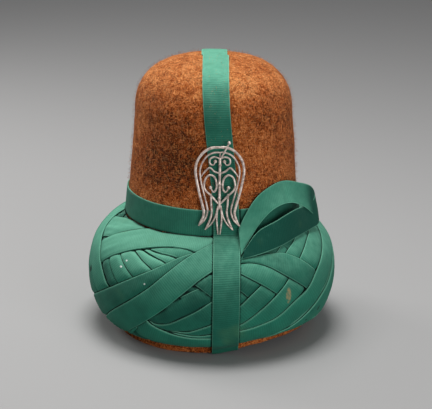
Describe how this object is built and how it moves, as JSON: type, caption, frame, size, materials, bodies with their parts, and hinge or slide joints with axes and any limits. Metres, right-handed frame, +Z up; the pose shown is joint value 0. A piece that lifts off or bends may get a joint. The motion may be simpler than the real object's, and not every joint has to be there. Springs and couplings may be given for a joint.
{
  "type": "dervish turban with felt crown",
  "caption": "Tall round felt cap with a padded ring at its foot, wound with flat green cotton tape, with a strap over the crown, a loop at the side and an openwork brooch.",
  "frame": {"origin": "on the table under the middle of the winding, at the height of the rim's flat stretch", "axes": "+Z up along the crown, the brooch faces -Y, the loop lies towards +X"},
  "size_m": [0.2427, 0.2494, 0.2733],
  "materials": {
    "felt": "hairy wool felt, reddish brown, mottled",
    "wadding_cover": "plain cotton cover under the winding",
    "cotton_tape": "matt flat-woven cotton tape with fine cross ribs, green",
    "silver": "worn, slightly tarnished silver"
  },
  "bodies": {
    "root": {"felt_cap": "felt", "padded_ring": "wadding_cover", "sash_high": "cotton_tape", "fan_strip_1": "cotton_tape", "fan_strip_2": "cotton_tape", "fan_strip_3": "cotton_tape", "fan_strip_4": "cotton_tape", "sash_low": "cotton_tape", "sweep_left": "cotton_tape", "cross_left_low": "cotton_tape", "cross_left_high": "cotton_tape", "bowl_strip_1": "cotton_tape", "bowl_strip_2": "cotton_tape", "bowl_strip_3": "cotton_tape", "sweep_right": "cotton_tape", "cross_right_low": "cotton_tape", "cross_right_high": "cotton_tape", "back_sweep_right_1": "cotton_tape", "back_sweep_right_2": "cotton_tape", "back_sweep_right_3": "cotton_tape", "back_sweep_right_4": "cotton_tape", "back_sweep_right_5": "cotton_tape", "back_sweep_left_1": "cotton_tape", "back_sweep_left_2": "cotton_tape", "back_sweep_left_3": "cotton_tape", "back_sweep_left_4": "cotton_tape", "back_sweep_left_5": "cotton_tape", "back_sweep_left_6": "cotton_tape", "crown_band": "cotton_tape", "crown_strap": "cotton_tape", "side_loop": "cotton_tape", "brooch": "silver", "brooch_pin": "silver"}
  },
  "joints": []
}
